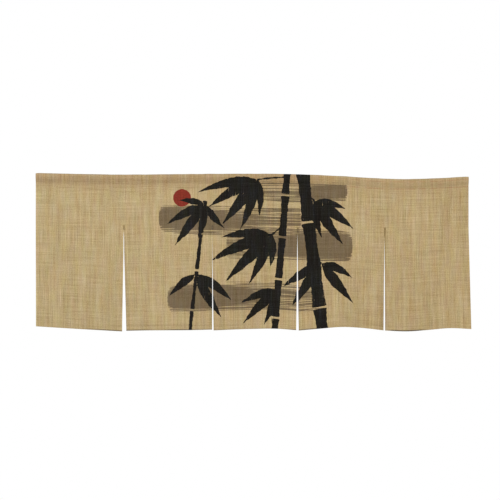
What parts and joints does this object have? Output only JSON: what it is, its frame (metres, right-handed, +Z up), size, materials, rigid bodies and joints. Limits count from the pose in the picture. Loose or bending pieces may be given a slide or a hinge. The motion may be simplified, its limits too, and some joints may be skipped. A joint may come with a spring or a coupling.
{
  "type": "noren curtain",
  "caption": "Short doorway curtain of one wide cloth slit into flaps, with hemmed edges and an empty rod pocket along its top edge.",
  "frame": {"origin": "middle of the top edge, on the crest of the rod pocket where the curtain hangs from its rod", "axes": "+X along the rod to the right as seen from the front, +Y from the front to the back, +Z up; the front faces -Y"},
  "size_m": [1.706, 0.0365, 0.621],
  "materials": {
    "cloth": "plain slubby linen-look weave, straw brown, matte",
    "heading": "the same weave, two layers together, a little darker and browner",
    "thread": "brown sewing thread"
  },
  "bodies": {
    "root": {"cloth": "cloth", "rod_pocket": "heading"}
  },
  "joints": []
}
